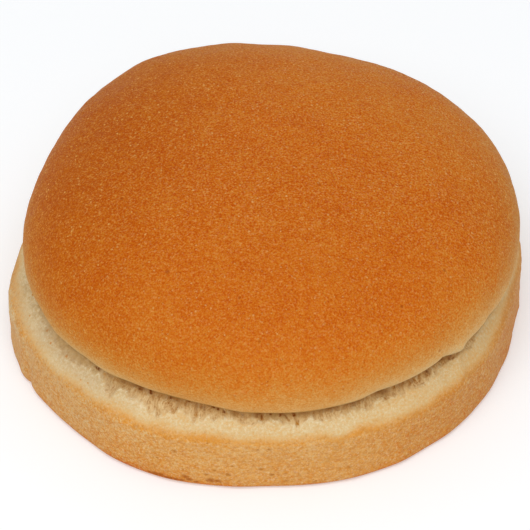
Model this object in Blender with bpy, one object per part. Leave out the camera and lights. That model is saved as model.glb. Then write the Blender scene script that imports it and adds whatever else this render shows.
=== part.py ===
"""A plain hamburger bun, sliced and closed: a domed crown lying on a flat heel.

Metres, +Z up. The heel stands on Z = 0, the box of the whole bun is centred on the Z axis,
and the front of the bun faces -Y. Azimuths are in degrees, from +X towards +Y.
"""

import math

import bpy
import numpy as np

# Heel: the lower half, with an upright wall that the baking pan shaped and a pale break that rounds
# in above it, up to the slice
HEEL_RADIUS = 0.0510
HEEL_FOOT_ROUND = 0.0014
WALL_HEIGHT = 0.0118
BREAK_CORNER = 0.0132
SLICE_HEIGHT = 0.0180
SLICE_STEP = 0.0004

# Crown: the upper half, browned, with a rim that curls in to the slice
SLICE_GAP = 0.0003
CROWN_RADIUS = 0.04923
CROWN_CENTRE = (0.0004, 0.0001)
CROWN_WIDEST_HEIGHT = 0.0232
BUN_HEIGHT = 0.0430
RIM_INSET = 0.00196
RIM_TURN = 60
DOME_FULLNESS = 2.3
DOME_TURN = 88

# Slow lobes of each outline: (lobes around, depth, azimuth of a lobe)
HEEL_LOBES = ((2, 0.00090, 86), (3, 0.00029, -48), (4, 0.00082, 107), (5, 0.00039, -175), (6, 0.00032, 8))
CROWN_LOBES = ((2, 0.00012, -18), (3, 0.00078, -7), (4, 0.00066, 111), (5, 0.00033, -103))

# Local swellings and dents of each outline: (azimuth, half width, height)
HEEL_SWELLINGS = (
    (176, 7, -0.00060), (184, 5, -0.00012), (191, 6, 0.00032), (202, 2.2, 0.00025), (205.5, 2.2, -0.00022),
    (219, 8, -0.00055), (228, 5, -0.00030), (247, 7, 0.00015), (270, 8, -0.00030), (297, 7, -0.00025),
    (308, 6, -0.00050), (331, 7, 0.00045), (342, 6, 0.00016), (353, 6, -0.00008), (3, 6, 0.00022),
)
RIM_SWELLINGS = (
    (206, 4, -0.00055), (231, 4.5, 0.00040), (246, 8, -0.00042), (263, 7, 0.00020),
    (287, 8, 0.00020), (301, 7, -0.00032), (312, 3.5, -0.00030), (315.7, 1.6, -0.00030),
    (319.8, 1.6, 0.00075), (331, 3.5, -0.00035), (354, 4, -0.00025),
)
RIM_SWELLING_REACH = 0.0035

# Soft hollows and lumps of the dome, which fade in over a rise: (x, y, half width, height)
LUMP_RISE = 0.004
DOME_LUMPS = (
    (-0.031, 0.030, 0.0060, -0.00050), (-0.024, 0.037, 0.0040, 0.00020), (-0.010, 0.016, 0.0150, 0.00020),
    (0.018, -0.012, 0.0160, -0.00025), (0.026, 0.022, 0.0140, 0.00015), (-0.020, -0.018, 0.0130, 0.00015),
)

# Torn crumb under the slice, where the halves were pulled apart: (azimuth, half width, reach downwards)
TEARS = (
    (232, 2.2, 0.0016), (244, 4.0, 0.0019), (253, 2.4, 0.0011), (265, 5.0, 0.0008), (276, 4.0, 0.0011),
    (285, 4.0, 0.0006), (293, 4.0, 0.0004), (302, 3.0, 0.0006), (310, 4.5, 0.0009), (325, 3.0, 0.0009),
    (20, 9.0, 0.0008), (52, 8.0, 0.0015), (74, 6.0, 0.0008), (98, 9.0, 0.0019), (128, 7.0, 0.0010),
    (150, 6.0, 0.0007),
)
TEAR_HEAD = 0.0177
TEAR_DEPTH = 0.0004
TEAR_STEP = 0.0002
TEAR_FULL_REACH = 0.0006
FRINGE_WAVES = ((31, 0.30, 40), (47, 0.35, 155), (61, 0.35, 290))
FRINGE_SHARE = 0.35

# Strands in the torn crumb: how many round the bun, and levels of (share of the way up, depth, relief)
STRANDS_ROUND = 54
STRAND_LEVELS = ((0.0, 1.0, 0.0), (0.35, 0.9, 0.4), (0.7, 0.6, 0.4))

HEEL_COLUMNS = 216
CROWN_COLUMNS = 160
BREAK_SHARES = (0.25, 0.5)
RIM_LEVELS = 5
DOME_LEVELS = 12

CRUST_BROWN = (0.571, 0.153, 0.018)
HEEL_GOLD = (0.658, 0.319, 0.087)


def azimuths(columns):
    """Evenly spaced azimuths of one turn, in radians."""
    return np.arange(columns) * (2.0 * math.pi / columns)


def swelling(azimuth, centre, half_width):
    """A bell curve around one azimuth, 1 at its centre, that wraps at a full turn."""
    away = (np.degrees(azimuth) - centre + 180.0) % 360.0 - 180.0
    return np.exp(-((away / half_width) ** 2))


def outline(azimuth, radius, lobes):
    """Radius at each azimuth: a circle with slow cosine lobes."""
    reach = np.full_like(azimuth, radius)
    for count, depth, turn in lobes:
        reach += depth * np.cos(count * azimuth - math.radians(turn))
    return reach


def swollen(azimuth, swellings):
    """Sum of the local swellings at each azimuth."""
    return sum(height * swelling(azimuth, centre, half_width) for centre, half_width, height in swellings)


def heel_outline(azimuth):
    """Outline of the heel's wall, its widest stretch."""
    return outline(azimuth, HEEL_RADIUS, HEEL_LOBES) + swollen(azimuth, HEEL_SWELLINGS)


def box_centre():
    """Middle of the heel's outline in X and Y, which is the middle of the whole bun."""
    azimuth = azimuths(HEEL_COLUMNS)
    reach = heel_outline(azimuth)
    across = reach * np.cos(azimuth)
    along = reach * np.sin(azimuth)
    return (across.min() + across.max()) / 2.0, (along.min() + along.max()) / 2.0


def ring(azimuth, reach, height, centre):
    """Points of one level: reach from the centre at each azimuth, at a height."""
    points = np.empty((len(azimuth), 3))
    points[:, 0] = centre[0] + reach * np.cos(azimuth)
    points[:, 1] = centre[1] + reach * np.sin(azimuth)
    points[:, 2] = height
    return points


def rim_outline(azimuth):
    """Outline of the crown's cut face, seen from the crown's centre."""
    widest = outline(azimuth, CROWN_RADIUS, CROWN_LOBES)
    return widest - RIM_INSET + swollen(azimuth, RIM_SWELLINGS)


def heel_cut_inset(azimuth):
    """How far the heel's cut edge lies inside its wall: just inside the crown's cut edge above it."""
    shifted = CROWN_CENTRE[0] * np.cos(azimuth) + CROWN_CENTRE[1] * np.sin(azimuth)
    return heel_outline(azimuth) - (rim_outline(azimuth) + shifted - SLICE_STEP)


def break_share(height):
    """Share along the break, 0 at the wall and 1 at the slice: a quadratic curve solved for its height."""
    bend = WALL_HEIGHT - 2.0 * BREAK_CORNER + SLICE_HEIGHT
    start = BREAK_CORNER - WALL_HEIGHT
    return (np.sqrt(start**2 + bend * (height - WALL_HEIGHT)) - start) / bend


def break_height(share):
    """Height at a share along the break, on a quadratic curve that leaves the wall upright."""
    rest = 1.0 - share
    return rest**2 * WALL_HEIGHT + 2.0 * share * rest * BREAK_CORNER + share**2 * SLICE_HEIGHT


def tear_foot(azimuth):
    """Height of the ragged lower edge of the torn crumb."""
    fringe = sum(share * np.cos(count * azimuth + math.radians(turn)) for count, share, turn in FRINGE_WAVES)
    return TEAR_HEAD - swollen(azimuth, TEARS) * (1.0 + FRINGE_SHARE * fringe)


def heel_rings():
    """Levels of the heel: foot, wall, the break that rounds in, and the torn crumb sunk into its top."""
    azimuth = azimuths(HEEL_COLUMNS)
    wall = heel_outline(azimuth)
    inset = heel_cut_inset(azimuth)
    middle = box_centre()
    centre = (-middle[0], -middle[1])
    corner = HEEL_FOOT_ROUND * (1.0 - math.sqrt(0.5))
    levels = [
        (HEEL_FOOT_ROUND, 0.0), (corner, corner), (0.0, HEEL_FOOT_ROUND), (0.0, WALL_HEIGHT / 2.0),
        (0.0, WALL_HEIGHT),
    ]
    rings = [ring(azimuth, wall - level_inset, height, centre) for level_inset, height in levels]
    for share in BREAK_SHARES:
        rings.append(ring(azimuth, wall - share**2 * inset, break_height(share), centre))

    # Up to the foot of the tears, a small step inwards there, and the strands from it up to the slice
    foot = tear_foot(azimuth)
    for height in ((break_height(BREAK_SHARES[-1]) + foot) / 2.0, foot):
        rings.append(ring(azimuth, wall - break_share(height) ** 2 * inset, height, centre))
    torn = np.clip(swollen(azimuth, TEARS) / TEAR_FULL_REACH, 0.0, 1.0)
    strands = np.cos(STRANDS_ROUND * azimuth)
    for share, sunk, relief in STRAND_LEVELS:
        height = foot + TEAR_STEP + share * (SLICE_HEIGHT - foot - TEAR_STEP)
        depth = TEAR_DEPTH * torn * (sunk + relief * strands)
        reach = wall - break_share(height) ** 2 * inset - depth
        rings.append(ring(azimuth, reach, height - depth / 2.0, centre))
    rings.append(ring(azimuth, wall - inset, SLICE_HEIGHT, centre))
    return np.stack(rings)


def crown_levels():
    """Profile of the crown from its cut edge to its top: (inset, share of the radius, height)."""
    cut = SLICE_HEIGHT + SLICE_GAP
    turn = math.radians(RIM_TURN)
    curl_inset = RIM_INSET / (1.0 - math.cos(turn))
    curl_height = (CROWN_WIDEST_HEIGHT - cut) / math.sin(turn)
    levels = []
    for step in range(RIM_LEVELS):
        angle = turn * (1.0 - step / RIM_LEVELS)
        height = CROWN_WIDEST_HEIGHT - curl_height * math.sin(angle)
        levels.append((curl_inset * (1.0 - math.cos(angle)), 1.0, height))
    power = 2.0 / DOME_FULLNESS
    rise = BUN_HEIGHT - CROWN_WIDEST_HEIGHT
    for step in range(DOME_LEVELS + 1):
        angle = math.radians(DOME_TURN) * step / DOME_LEVELS
        levels.append((0.0, math.cos(angle) ** power, CROWN_WIDEST_HEIGHT + rise * math.sin(angle) ** power))
    return levels


def crown_rings():
    """Levels of the crown: the rim, part of an ellipse, then the dome, a rounded superellipse."""
    azimuth = azimuths(CROWN_COLUMNS)
    widest = outline(azimuth, CROWN_RADIUS, CROWN_LOBES)
    rim = swollen(azimuth, RIM_SWELLINGS)
    cut = SLICE_HEIGHT + SLICE_GAP
    middle = box_centre()
    centre = (CROWN_CENTRE[0] - middle[0], CROWN_CENTRE[1] - middle[1])
    rings = []
    for inset, share, height in crown_levels():
        fade = math.exp(-(((height - cut) / RIM_SWELLING_REACH) ** 2))
        points = ring(azimuth, widest * share - inset + rim * fade, height, centre)
        raised = min(1.0, max(0.0, (height - CROWN_WIDEST_HEIGHT) / LUMP_RISE))
        for x, y, half_width, lump in DOME_LUMPS:
            away = (points[:, 0] - x) ** 2 + (points[:, 1] - y) ** 2
            points[:, 2] += raised * lump * np.exp(-away / half_width**2)
        rings.append(points)
    return np.stack(rings)


def loft(name, rings, material):
    """One closed solid: four-sided faces between neighbouring levels, a flat face at foot and head."""
    levels, columns = rings.shape[:2]
    faces = []
    for level in range(levels - 1):
        for column in range(columns):
            beside = (column + 1) % columns
            low = level * columns
            high = low + columns
            faces.append((low + column, low + beside, high + beside, high + column))
    faces.append(tuple(reversed(range(columns))))
    faces.append(tuple(range((levels - 1) * columns, levels * columns)))
    mesh = bpy.data.meshes.new(name)
    mesh.from_pydata(rings.reshape(-1, 3).tolist(), [], faces)
    mesh.materials.append(material)
    mesh.shade_smooth()
    mesh.set_sharp_from_angle(angle=math.radians(50))
    piece = bpy.data.objects.new(name, mesh)
    bpy.context.scene.collection.objects.link(piece)
    return piece


def baked(name, colour, roughness):
    """Matt baked dough of one colour."""
    material = bpy.data.materials.new(name)
    material.use_nodes = True
    shader = material.node_tree.nodes["Principled BSDF"]
    shader.inputs["Base Color"].default_value = (*colour, 1.0)
    shader.inputs["Roughness"].default_value = roughness
    shader.inputs["Metallic"].default_value = 0.0
    return material


for old in list(bpy.data.objects):
    bpy.data.objects.remove(old, do_unlink=True)

loft("heel", heel_rings(), baked("golden heel crust", HEEL_GOLD, 0.75))
loft("crown", crown_rings(), baked("browned crown crust", CRUST_BROWN, 0.55))
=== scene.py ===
import math
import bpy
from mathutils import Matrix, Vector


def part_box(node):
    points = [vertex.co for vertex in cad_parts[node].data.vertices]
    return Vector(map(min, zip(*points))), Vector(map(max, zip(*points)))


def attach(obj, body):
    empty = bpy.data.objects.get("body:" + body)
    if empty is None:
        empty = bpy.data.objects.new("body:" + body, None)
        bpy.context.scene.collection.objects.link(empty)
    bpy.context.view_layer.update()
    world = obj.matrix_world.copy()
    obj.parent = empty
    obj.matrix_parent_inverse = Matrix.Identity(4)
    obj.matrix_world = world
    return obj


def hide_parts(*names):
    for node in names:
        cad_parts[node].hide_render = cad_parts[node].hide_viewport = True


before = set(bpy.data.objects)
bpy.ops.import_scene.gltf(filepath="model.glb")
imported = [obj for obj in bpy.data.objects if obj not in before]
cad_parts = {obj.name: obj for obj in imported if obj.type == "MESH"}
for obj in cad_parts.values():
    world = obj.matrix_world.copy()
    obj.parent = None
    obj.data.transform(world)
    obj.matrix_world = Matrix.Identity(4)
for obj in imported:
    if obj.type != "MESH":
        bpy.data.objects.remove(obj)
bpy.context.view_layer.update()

from types import SimpleNamespace

import bpy
import numpy as np


# Camera
# A long lens looks down on the front of the bun from 0.7 m away, as the photograph does, so the bun
# nearly fills the frame.
ELEVATION = math.radians(43.5)
DISTANCE = 0.7
PIXELS_PER_METRE = 5000.0
FRAME_PIXELS = 530
SENSOR = 36.0
AIM_FROM_HEEL_MIDDLE = (-0.000427, -0.002777)
AIM_HEIGHT = 0.015


def place_camera(middle):
    """Puts the camera at its distance from the aim point, which lies beside the heel's middle."""
    aim = (middle[0] + AIM_FROM_HEEL_MIDDLE[0], middle[1] + AIM_FROM_HEEL_MIDDLE[1], AIM_HEIGHT)
    data = bpy.data.cameras.new("camera")
    data.sensor_width = SENSOR
    data.lens = PIXELS_PER_METRE * DISTANCE / FRAME_PIXELS * SENSOR
    camera = bpy.data.objects.new("camera", data)
    back, up = DISTANCE * math.cos(ELEVATION), DISTANCE * math.sin(ELEVATION)
    camera.location = (aim[0], aim[1] - back, aim[2] + up)
    camera.rotation_euler = (math.pi / 2.0 - ELEVATION, 0.0, 0.0)
    bpy.context.scene.collection.objects.link(camera)
    bpy.context.scene.camera = camera


# Heel
# The lower half of the bun, bread dough baked against a flat pan: a browned underside, an upright golden
# wall with fine pits, an orange line where the pan ended, and above it the pale break, torn under the slice.
HEEL_COLUMNS = 1080
HEEL_RADIUS = 0.051
# Lobes of an outline are (count, depth, turn in degrees), and its local swellings (azimuth, half width,
# height), the first two in degrees
HEEL_LOBES = ((2, 0.0009, 86), (3, 0.00029, -48), (4, 0.00082, 107), (5, 0.00039, -175), (6, 0.00032, 8))
HEEL_SWELLINGS = (
    (176, 7, -0.0006), (184, 5, -0.00012), (191, 6, 0.00032), (202, 2.2, 0.00025), (205.5, 2.2, -0.00022),
    (219, 8, -0.00055), (228, 5, -0.0003), (247, 7, 0.00015), (270, 8, -0.0003), (297, 7, -0.00025),
    (308, 6, -0.0005), (331, 7, 0.00045), (342, 6, 0.00016), (353, 6, -0.00008), (3, 6, 0.00022),
)
FOOT_ROUND = 0.0014
WALL_HEIGHT = 0.0118
BREAK_CORNER = 0.0132
SLICE_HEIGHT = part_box("heel")[1][2]
SLICE_STEP = 0.0004
CROWN_RADIUS = 0.04923
CROWN_CENTRE = (0.0004, 0.0001)
CROWN_LOBES = ((2, 0.00012, -18), (3, 0.00078, -7), (4, 0.00066, 111), (5, 0.00033, -103))
RIM_SWELLINGS = (
    (206, 4, -0.00055), (231, 4.5, 0.0004), (246, 8, -0.00042), (263, 7, 0.0002), (287, 8, 0.0002),
    (301, 7, -0.00032), (312, 3.5, -0.0003), (315.7, 1.6, -0.0003), (319.8, 1.6, 0.00075),
    (331, 3.5, -0.00035), (354, 4, -0.00025), (232.5, 8, -0.0003), (255.5, 6.5, -0.00052),
    (277.5, 4.5, 0.00028), (295.8, 3.2, -0.00042), (315.0, 1.3, -0.00035),
)
RIM_INSET = 0.00196
# How far the tears reach down from the slice, as swellings: broad ones, faint ones and narrow spikes
TEARS = (
    (232, 2.2, 0.0016), (237.5, 3.0, 0.001), (244, 4.2, 0.0019), (253, 3.0, 0.0014), (257.5, 2.5, 0.0005),
    (265, 5.0, 0.001), (276, 4.0, 0.0011), (285, 4.0, 0.0011), (293, 4.0, 0.001), (302, 3.5, 0.001),
    (310, 4.5, 0.0012), (325, 3.0, 0.0009), (20, 9.0, 0.0008), (52, 8.0, 0.0015), (74, 6.0, 0.0008),
    (98, 9.0, 0.0019), (128, 7.0, 0.001), (150, 6.0, 0.0007),
)
SOFT_TEARS = ((207, 5, 0.0006), (217, 9, 0.0011))
TEAR_SPIKES = (
    (231.0, 0.5, 0.0008), (245.2, 0.8, 0.0007), (247.8, 0.6, 0.0005), (253.3, 0.5, 0.0008),
    (265.0, 0.6, 0.0005), (269.2, 0.6, 0.0004), (275.4, 0.6, 0.0005), (276.9, 0.4, 0.0011),
    (282.6, 0.5, 0.0007),
)
TEAR_HEAD = 0.0177
TEAR_LEAST = 0.0006
TEAR_DEPTH = 0.00028
TEAR_EDGE = (-0.1, 0.4)
RAW_BANDS = ((180, 231, 4, -0.55),)
CUT_MARGIN = 0.0004
# Where the unevenness of the wall and of the whole heel sets in above the foot
WALL_FOOT = (0.0004, 0.0015)
LUMP_FOOT = (0.0003, 0.001)
# Ripples, as (height, wavelength, seed)
TEAR_FRINGE = ((0.5, 0.0034, 3), (0.35, 0.0016, 4))
TORN_STRANDS = ((0.45, 0.0009, 5), (0.55, 0.0022, 6))
WALL_PITS = ((0.00005, 0.0045, 7), (0.00003, 0.0018, 8))
HEEL_LUMPS = ((0.00008, 0.009, 9),)
PLANE_WAVES = 40
WAVELENGTH_SPREAD = (0.75, 1.35)
# A small step in the foot at the left, as (azimuth, half width) in degrees
NICK = (204.9, 0.9)
NICK_DEPTH = 0.00028
NICK_HEIGHTS = (0.006, 0.0025)
SHARP_ANGLE = math.radians(60.0)
MILLIMETRES = 1000.0


def bell(value, middle, half_width):
    """A bell curve, 1 at its middle."""
    return np.exp(-(((value - middle) / half_width) ** 2))


def swelling(azimuth, centre, half_width):
    """A bell curve, 1 at one azimuth in degrees, that wraps at a full turn."""
    away = (np.degrees(azimuth) - centre + 180.0) % 360.0 - 180.0
    return bell(away, 0.0, half_width)


def swollen(azimuth, swellings):
    """Sum of bell curves given as (azimuth, half width, height)."""
    return sum(height * swelling(azimuth, centre, half_width) for centre, half_width, height in swellings)


def outline(azimuth, radius, lobes, swellings):
    """Radius at each azimuth: a circle, slow cosine lobes of (count, depth, turn), and local swellings."""
    slow = sum(depth * np.cos(count * azimuth - math.radians(turn)) for count, depth, turn in lobes)
    return radius + slow + swollen(azimuth, swellings)


def ripples(points, wavelength, seed):
    """Soft noise of about -1 to 1: a sum of plane waves in random directions, all near one wavelength."""
    draw = np.random.default_rng(seed)
    heading = draw.normal(size=(points.shape[-1], PLANE_WAVES))
    heading /= np.linalg.norm(heading, axis=0)
    pitch = 2.0 * math.pi / (wavelength * draw.uniform(*WAVELENGTH_SPREAD, PLANE_WAVES))
    phase = draw.uniform(0.0, 2.0 * math.pi, PLANE_WAVES)
    return np.cos(points @ (heading * pitch) + phase).sum(axis=-1) / math.sqrt(PLANE_WAVES)


def rippled(points, waves):
    """Sum of ripples given as (height, wavelength, seed)."""
    return sum(height * ripples(points, wavelength, seed) for height, wavelength, seed in waves)


def smooth_step(value, low, high):
    """0 below low, 1 above high, and a soft S-curve between them; falling if low is above high."""
    share = np.clip((value - low) / (high - low), 0.0, 1.0)
    return share * share * (3.0 - 2.0 * share)


def window(azimuth, start, end, soft):
    """1 between two azimuths in degrees, counted on past 360, and 0 outside them, over a soft edge."""
    turn = (np.degrees(azimuth) - start) % 360.0
    return smooth_step(turn, 0.0, soft) * (1.0 - smooth_step(turn, end - start - soft, end - start))


def banded(azimuth, bands):
    """Sum of windows given as (start, end, soft edge, amount)."""
    return sum(amount * window(azimuth, start, end, soft) for start, end, soft, amount in bands)


def coated(azimuth, height, coats):
    """Sum of windows times smooth steps of height, as (start, end, soft edge, low, high, amount)."""
    total = 0.0
    for start, end, soft, low, high, amount in coats:
        total = total + amount * window(azimuth, start, end, soft) * smooth_step(height, low, high)
    return total


def turned(name, x, y, z, poles, materials, face_material):
    """A closed skin: rows of points one above the other, each a turn round the bun, and a pole at each end.

    x, y and z are grids of row by column. Neighbouring rows are joined by four-sided faces, and the first
    and last rows by triangles to their poles. face_material gives a material's index for each row gap.
    """
    rows, columns = x.shape
    points = np.concatenate([np.stack([x, y, z], -1).reshape(-1, 3), np.array(poles)])
    column = np.arange(columns)
    beside = (column + 1) % columns
    base = np.arange(rows - 1)[:, None] * columns
    quads = np.stack([base + column, base + beside, base + columns + beside, base + columns + column], -1)
    last = (rows - 1) * columns
    foot = np.stack([beside, column, np.full(columns, rows * columns)], -1)
    head = np.stack([last + column, last + beside, np.full(columns, rows * columns + 1)], -1)
    faces = quads.reshape(-1, 4).tolist() + foot.tolist() + head.tolist()
    mesh = bpy.data.meshes.new(name)
    mesh.from_pydata(points.tolist(), [], faces)
    for material in materials:
        mesh.materials.append(material)
    ends = [face_material[0]] * columns + [face_material[-1]] * columns
    mesh.polygons.foreach_set("material_index", np.concatenate([np.repeat(face_material, columns), ends]))
    mesh.shade_smooth()
    mesh.set_sharp_from_angle(angle=SHARP_ANGLE)
    piece = bpy.data.objects.new(name, mesh)
    bpy.context.scene.collection.objects.link(piece)
    return piece


def paint(piece, name, values, ends):
    """Stores one number for each point of a turned skin, row by row, and one for each pole."""
    layer = piece.data.attributes.new(name, "FLOAT", "POINT")
    layer.data.foreach_set("value", np.concatenate([values.ravel(), np.array(ends)]).astype(np.float32))


def is_link(value):
    """Whether a value is another node's socket, rather than a plain number or colour."""
    return isinstance(value, bpy.types.NodeSocket)


def fill(node, sockets):
    """Gives a node's input sockets their values or links."""
    for label, value in sockets.items():
        if is_link(value):
            node.id_data.links.new(value, node.inputs[label])
        else:
            node.inputs[label].default_value = value


def add_node(kind, sockets, **settings):
    """One shader node in the tree of its links: settings are its properties, sockets its values or links."""
    made = next(filter(is_link, sockets.values())).id_data.nodes.new(kind)
    for label, value in settings.items():
        setattr(made, label, value)
    fill(made, sockets)
    return made


def calc(operation, a, b=0.0, c=0.0, clamp=False):
    """A sum, product or other operation of up to three numbers."""
    sockets = {0: a, 1: b, 2: c}
    return add_node("ShaderNodeMath", sockets, operation=operation, use_clamp=clamp).outputs[0]


def times(a, b, clamp=False):
    """The product of two numbers, held between 0 and 1 if clamped."""
    return calc("MULTIPLY", a, b, clamp=clamp)


def vector_calc(operation, a, b=(0.0, 0.0, 0.0), scale=1.0):
    """A sum, product, scaling or other operation of one or two vectors."""
    sockets = {0: a, 1: b, 3: scale}
    return add_node("ShaderNodeVectorMath", sockets, operation=operation).outputs[0]


def blend(share, low, high):
    """Low colour where share is 0, high colour where it is 1."""
    made = add_node("ShaderNodeMix", {0: share, 6: low, 7: high}, data_type="RGBA")
    return made.outputs[2]


def layered(colour, *layers):
    """A colour with others laid over it in turn, each as (share, colour)."""
    for share, over in layers:
        colour = blend(share, colour, over)
    return colour


def srgb(red, green, blue):
    """Linear colour of a display colour of 0 to 255."""
    shown = np.array([red, green, blue]) / 255.0
    linear = np.where(shown <= 0.04045, shown / 12.92, ((shown + 0.055) / 1.055) ** 2.4)
    return (*linear.tolist(), 1.0)


def new_group(name, output, kind="NodeSocketFloat", on_bread=True, **inputs):
    """An empty node group with named numbers as inputs, after a place if it is on the bread, and one output.

    Returns its tree, its inputs as given, and the socket that it gives.
    """
    tree = bpy.data.node_groups.new(name, "ShaderNodeTree")
    if on_bread:
        tree.interface.new_socket("Vector", in_out="INPUT", socket_type="NodeSocketVector")
    for label, value in inputs.items():
        plain = label.replace("_", " ")
        socket = tree.interface.new_socket(plain, in_out="INPUT", socket_type="NodeSocketFloat")
        socket.default_value = value
    tree.interface.new_socket(output, in_out="OUTPUT", socket_type=kind)
    return tree, tree.nodes.new("NodeGroupInput").outputs, tree.nodes.new("NodeGroupOutput").inputs[output]


BAKE_STEPS = (
    (232, 216, 180), (225, 204, 160), (218, 190, 140), (218, 179, 119), (218, 168, 102), (213, 154, 82),
    (207, 139, 62), (205, 125, 42), (202, 109, 24), (193, 92, 11), (184, 76, 3),
)


def make_bake_group():
    """Browning: a number from 0, pale dough, over golden and orange, to 1, dark brown, gives a colour."""
    tree, given, result = new_group("bake_colour", "Color", "NodeSocketColor", on_bread=False, Bake=0.5)
    ramp = add_node("ShaderNodeValToRGB", {0: given["Bake"]})
    stops = ramp.color_ramp.elements
    while len(stops) < len(BAKE_STEPS):
        stops.new(0.5)
    for number, colour in enumerate(BAKE_STEPS):
        stops[number].position = number / (len(BAKE_STEPS) - 1)
        stops[number].color = srgb(*colour)
    tree.links.new(ramp.outputs["Color"], result)
    return tree


def make_mottle_group():
    """Uneven browning: noise of one patch size, spread round 0 by an amount."""
    tree, given, result = new_group("mottle", "Value", Patch_size=0.001, Detail=2.0, Amount=0.1)
    scale = calc("DIVIDE", 1.0, given["Patch size"])
    sockets = {"Vector": given["Vector"], "Scale": scale, "Detail": given["Detail"], "Roughness": 0.6}
    noise = add_node("ShaderNodeTexNoise", sockets).outputs[0]
    centred = calc("SUBTRACT", noise, 0.5)
    tree.links.new(times(times(centred, 2.0), given["Amount"]), result)
    return tree


def make_speck_group():
    """Scattered round specks: one in each cell of a spacing, and only in a share of the cells.

    Each is half to 1.2 times a size, which is a share of the spacing.
    """
    tree, given, result = new_group("specks", "Mask", Spacing=0.001, Size=0.3, Share=0.5)
    scale = calc("DIVIDE", 1.0, given["Spacing"])
    cells = add_node("ShaderNodeTexVoronoi", {"Vector": given["Vector"], "Scale": scale})
    chance = add_node("ShaderNodeSeparateColor", {0: cells.outputs["Color"]})
    kept = calc("LESS_THAN", chance.outputs[0], given["Share"])
    uneven = calc("MULTIPLY_ADD", chance.outputs[1], 0.7, 0.5)
    wide = times(given["Size"], uneven)
    away = calc("DIVIDE", cells.outputs["Distance"], wide)
    nearness = calc("SUBTRACT", 1.0, away, clamp=True)
    soft = calc("SMOOTH_MIN", times(nearness, 2.0), 1.0, 0.3)
    tree.links.new(times(soft, kept), result)
    return tree


bake_group = make_bake_group()
mottle_group = make_mottle_group()
speck_group = make_speck_group()


def grouped(group, **inputs):
    """Places a node group in a material with its own values, and returns its first output."""
    sockets = {label.replace("_", " "): value for label, value in inputs.items()}
    return add_node("ShaderNodeGroup", sockets, node_tree=group).outputs[0]


def mottled(place, patch_size, detail=2.0, amount=1.0):
    """Uneven browning from the shared group, of -amount to amount."""
    return grouped(mottle_group, Vector=place, Patch_size=patch_size, Detail=detail, Amount=amount)


def specked(place, spacing, size, share):
    """Scattered specks from the shared group, of 0 to 1."""
    return grouped(speck_group, Vector=place, Spacing=spacing, Size=size, Share=share)


def bread_material(name):
    """An empty material; returns it with its tree and the place on the bread in metres."""
    material = bpy.data.materials.new(name)
    material.use_nodes = True
    tree = material.node_tree
    return material, tree, tree.nodes.new("ShaderNodeTexCoord").outputs["Object"]


def painted(tree, name):
    """The number stored on the mesh under a name."""
    layer = tree.nodes.new("ShaderNodeAttribute")
    layer.attribute_name = name
    return layer.outputs["Fac"]


# Single marks, as (x, y, z, half width) in millimetres: small brown pits in the pale break, brown dents
# that the pan left in the wall, and burnt spots along the foot
HEEL_MARKS = (
    (-46.2, -13.5, 16.9, 0.45), (-46.7, -17.9, 15.3, 0.3), (-42.9, -23.0, 16.3, 0.45),
    (-42.1, -26.0, 15.7, 0.35), (-38.8, -30.0, 16.1, 0.4), (-31.3, -36.2, 17.4, 0.45),
    (-36.0, -35.0, 14.6, 0.3), (-34.6, -36.1, 14.9, 0.3), (-30.9, -38.7, 15.7, 0.3),
)
PAN_DENTS = (
    (-0.9, -50.3, 5.5, 0.55), (-7.4, -50.3, 4.3, 0.7), (-8.3, -50.3, 4.6, 0.45), (-11.6, -49.9, 3.8, 0.5),
    (-10.0, -50.1, 5.1, 0.5), (-1.7, -50.3, 11.1, 0.5), (0.5, -50.3, 11.2, 0.55), (-17.7, -48.7, 8.8, 0.6),
    (1.1, -50.2, 4.0, 0.5), (3.4, -50.2, 2.0, 0.8), (-6.6, -50.3, 6.6, 0.4), (-13.6, -49.6, 12.4, 0.35),
    (-11.4, -49.9, 12.4, 0.35),
)
FOOT_BURNS = (
    (-22.6, -46.9, 1.2, 0.7), (-21.5, -47.4, 1.2, 1.1), (-20.4, -47.8, 1.4, 1.0), (-19.3, -48.2, 1.2, 1.0),
    (-18.4, -48.5, 1.3, 0.9), (-17.4, -48.8, 1.2, 1.0), (-16.5, -49.0, 1.3, 0.8), (-15.6, -49.2, 2.5, 1.0),
    (-14.8, -49.4, 1.9, 0.9), (-13.5, -49.6, 1.3, 0.7), (-10.7, -50.0, 2.1, 1.2), (-9.4, -50.2, 2.1, 1.0),
)
PAN_MARK_FLATNESS = 1.6
SWAYS_PER_METRE = 420.0


def make_strand_group():
    """Pulled crumb: soft noise -1 to 1 in strands down the break, thin across and long up and down."""
    tree, given, result = new_group("strands", "Value", Width=0.0005, Length=0.003, Bend=0.0004)
    place = given["Vector"]
    sway = add_node("ShaderNodeTexNoise", {"Vector": place, "Scale": SWAYS_PER_METRE, "Detail": 2.0})
    sway = vector_calc("SUBTRACT", sway.outputs["Color"], (0.5, 0.5, 0.5))
    sway = vector_calc("SCALE", sway, scale=times(given["Bend"], 4.0))
    bent = vector_calc("ADD", place, sway)
    ring = vector_calc("NORMALIZE", vector_calc("MULTIPLY", bent, (1.0, 1.0, 0.0)))
    pitch = calc("DIVIDE", CROWN_RADIUS, given["Width"])
    ring = vector_calc("SCALE", ring, scale=pitch)
    height = add_node("ShaderNodeSeparateXYZ", {0: bent}).outputs[2]
    down = add_node("ShaderNodeCombineXYZ", {2: calc("DIVIDE", height, given["Length"])})
    laid = vector_calc("ADD", ring, down.outputs[0])
    noise = add_node("ShaderNodeTexNoise", {"Vector": laid, "Scale": 1.0, "Detail": 1.5}).outputs[0]
    tree.links.new(times(calc("SUBTRACT", noise, 0.5), 4.0), result)
    return tree


strand_group = make_strand_group()


def stranded(place, width, length, bend):
    """Strands of crumb from the shared group, of -1 to 1."""
    return grouped(strand_group, Vector=place, Width=width, Length=length, Bend=bend)


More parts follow.
